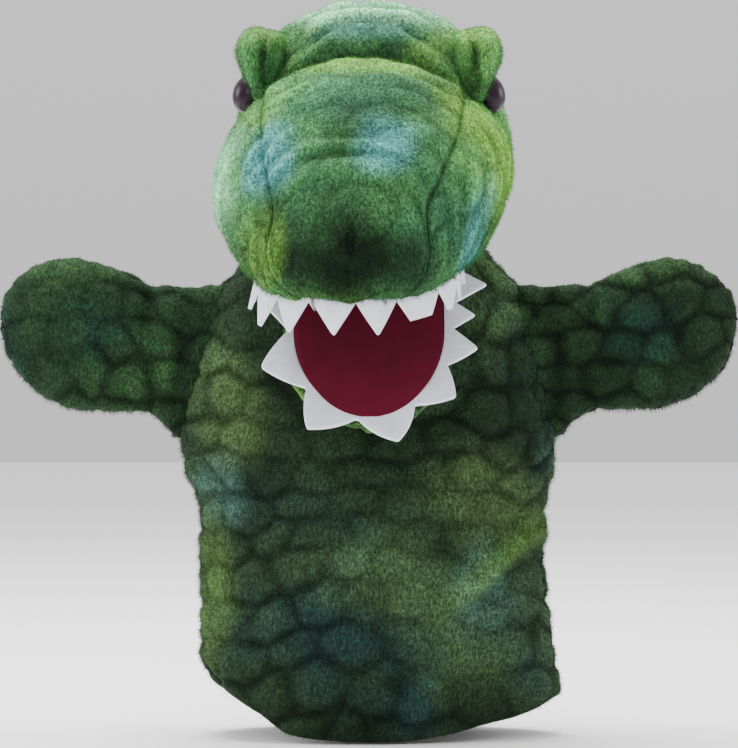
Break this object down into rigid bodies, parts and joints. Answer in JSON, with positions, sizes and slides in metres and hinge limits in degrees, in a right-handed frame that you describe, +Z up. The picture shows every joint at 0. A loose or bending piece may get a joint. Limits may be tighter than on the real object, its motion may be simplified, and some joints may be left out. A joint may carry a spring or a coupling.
{
  "type": "moving mouth hand puppet",
  "caption": "Plush hand puppet of a large-jawed dinosaur: a lined sleeve for the hand, a stuffed head and lower jaw that open and close, and stuffed swinging arms.",
  "frame": {"origin": "centre of the hand opening, in the plane of the hem it stands on", "axes": "+Z up through the sleeve to the head, -Y the way the puppet faces, +X to the right as seen from the front"},
  "size_m": [0.284, 0.158, 0.28],
  "materials": {
    "plush_body": "short pile plush with a scale pattern",
    "plush_head": "short pile plush with a scale pattern",
    "plush_brow": "short pile plush",
    "plush_arm": "short pile plush with a scale pattern",
    "mouth_felt": "felt",
    "teeth_felt": "felt",
    "lining": "thin woven lining",
    "padding": "loose polyester filling",
    "board": "thin stiff sheet",
    "eye": "glossy moulded button",
    "washer": "moulded",
    "thread": "sewing thread"
  },
  "bodies": {
    "torso": {"body_front_panel": "plush_body", "body_back_panel": "plush_body", "sleeve_lining_front": "lining", "sleeve_lining_back": "lining"},
    "neck": {"neck_collar": "plush_body", "neck_lining": "lining"},
    "head": {"head_gusset": "plush_head", "head_side_left": "plush_head", "head_side_right": "plush_head", "brow_left": "plush_brow", "brow_right": "plush_brow", "eye_left": "eye", "eye_right": "eye", "eye_washer_left": "washer", "eye_washer_right": "washer", "nose_stitch": "thread", "palate_lining": "mouth_felt", "upper_mouth_board": "board", "finger_pocket": "lining", "head_padding": "padding", "upper_teeth": "teeth_felt"},
    "jaw": {"tongue_lining": "mouth_felt", "lower_mouth_board": "board", "chin_panel": "plush_head", "jaw_padding": "padding", "thumb_pocket": "lining", "lower_teeth": "teeth_felt"},
    "arm_left": {"arm_left_front": "plush_arm", "arm_left_back": "plush_arm", "arm_left_filling": "padding"},
    "arm_right": {"arm_right_front": "plush_arm", "arm_right_back": "plush_arm", "arm_right_filling": "padding"}
  },
  "joints": [
    {"name": "head_turn", "type": "hinge", "parent": "torso", "child": "neck", "pos_m": [0, 0.01, 0.186], "axis": [0, 0, 1], "range_deg": [-20, 20]},
    {"name": "upper_jaw_lift", "type": "hinge", "parent": "neck", "child": "head", "pos_m": [0, -0.022, 0.184], "axis": [-1, 0, 0], "range_deg": [-8, 28]},
    {"name": "lower_jaw_drop", "type": "hinge", "parent": "neck", "child": "jaw", "pos_m": [0, -0.022, 0.184], "axis": [1, 0, 0], "range_deg": [-28, 3]},
    {"name": "arm_left_swing", "type": "hinge", "parent": "torso", "child": "arm_left", "pos_m": [-0.065, 0.005, 0.168], "axis": [0.1764, 0, 0.9843], "range_deg": [-50, 50]},
    {"name": "arm_right_swing", "type": "hinge", "parent": "torso", "child": "arm_right", "pos_m": [0.065, 0.005, 0.168], "axis": [0.1764, 0, -0.9843], "range_deg": [-50, 50]}
  ]
}
